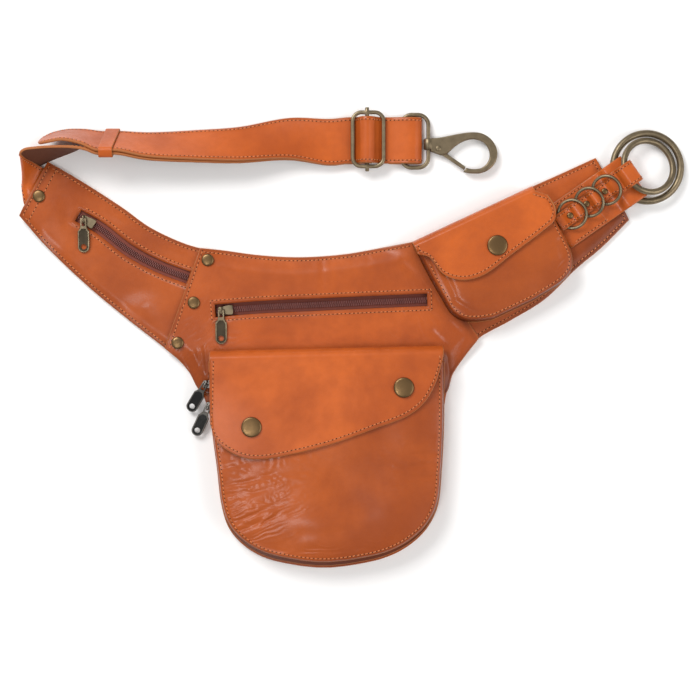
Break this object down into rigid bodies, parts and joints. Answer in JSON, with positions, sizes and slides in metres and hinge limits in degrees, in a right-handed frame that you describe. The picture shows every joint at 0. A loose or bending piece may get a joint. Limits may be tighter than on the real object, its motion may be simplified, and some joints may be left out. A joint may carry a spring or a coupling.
{
  "type": "belt bag",
  "caption": "Tan leather belt bag lying flat: curved yoke with zipped pockets, a flapped main pouch, a flapped side pocket, a ring end and an adjustable strap with a snap hook.",
  "frame": {"origin": "middle of the bounding box on the surface that the bag lies on", "axes": "+X along the belt towards the ring end, +Y towards the belt's upper edge, +Z out of the bag's front, away from the wearer"},
  "size_m": [0.4963, 0.3424, 0.0361],
  "materials": {
    "leather": "smooth waxed tan leather with a soft gloss",
    "strap_leather": "smooth tan strap leather, matt brown flesh side",
    "zip_tape": "dark maroon woven tape with moulded teeth",
    "antique_brass": "antique brass plate, rubbed and dulled",
    "dark_metal": "black gunmetal plate with bright rubbed edges"
  },
  "bodies": {
    "bag": {"back_panel": "leather", "left_wing": "leather", "right_wing": "leather", "centre_panel": "leather", "rear_pocket": "leather", "middle_pocket": "leather", "front_pocket": "leather", "pouch_flap": "leather", "side_pocket": "leather", "side_flap": "leather", "ring_strip_wide": "leather", "ring_strip_narrow": "leather", "bag_strap": "strap_leather", "hook_strap": "strap_leather", "strap_keeper": "strap_leather", "left_zip_tape": "zip_tape", "centre_zip_tape": "zip_tape", "upper_zip_tape": "zip_tape", "lower_zip_tape": "zip_tape", "tab_rivet_1": "antique_brass", "tab_rivet_2": "antique_brass", "tab_rivet_3": "antique_brass", "seam_rivet_1": "antique_brass", "seam_rivet_2": "antique_brass", "seam_rivet_3": "antique_brass", "strap_rivet": "antique_brass", "flap_snap_left": "antique_brass", "flap_snap_right": "antique_brass", "side_snap": "antique_brass", "outer_ring": "antique_brass", "inner_ring": "antique_brass", "small_ring_1": "antique_brass", "small_ring_2": "antique_brass", "small_ring_3": "antique_brass", "strap_slider": "antique_brass", "hook_eye": "antique_brass", "left_zip_slider": "antique_brass", "centre_zip_slider": "antique_brass", "upper_zip_slider": "dark_metal", "lower_zip_slider": "dark_metal"},
    "hook": {"hook_body": "antique_brass"},
    "gate": {"hook_gate": "antique_brass"},
    "left_pull": {"left_zip_pull": "antique_brass"},
    "centre_pull": {"centre_zip_pull": "antique_brass"},
    "upper_pull": {"upper_zip_pull": "dark_metal"},
    "lower_pull": {"lower_zip_pull": "dark_metal"}
  },
  "joints": [
    {"name": "hook_swing", "type": "hinge", "parent": "bag", "child": "hook", "pos_m": [0.05711, 0.14419, 0.0046], "axis": [0, -1, 0], "range_deg": [0, 120]},
    {"name": "gate_open", "type": "hinge", "parent": "hook", "child": "gate", "pos_m": [0.06461, 0.14089, 0.0046], "axis": [0, 0, 1], "range_deg": [0, 28], "stiffness_Nm_per_rad": 0.02},
    {"name": "left_pull_flip", "type": "hinge", "parent": "bag", "child": "left_pull", "pos_m": [-0.20014, 0.08794, 0.0094], "axis": [-1, 0, 0], "range_deg": [0, 150]},
    {"name": "centre_pull_flip", "type": "hinge", "parent": "bag", "child": "centre_pull", "pos_m": [-0.09739, 0.01969, 0.0104], "axis": [-1, 0, 0], "range_deg": [0, 150]},
    {"name": "upper_pull_flip", "type": "hinge", "parent": "bag", "child": "upper_pull", "pos_m": [-0.10901, -0.03506, 0.012], "axis": [-0.848, 0.5299, 0], "range_deg": [0, 55]},
    {"name": "lower_pull_flip", "type": "hinge", "parent": "bag", "child": "lower_pull", "pos_m": [-0.10676, -0.05156, 0.0094], "axis": [-0.8988, 0.4384, 0], "range_deg": [0, 55]}
  ]
}
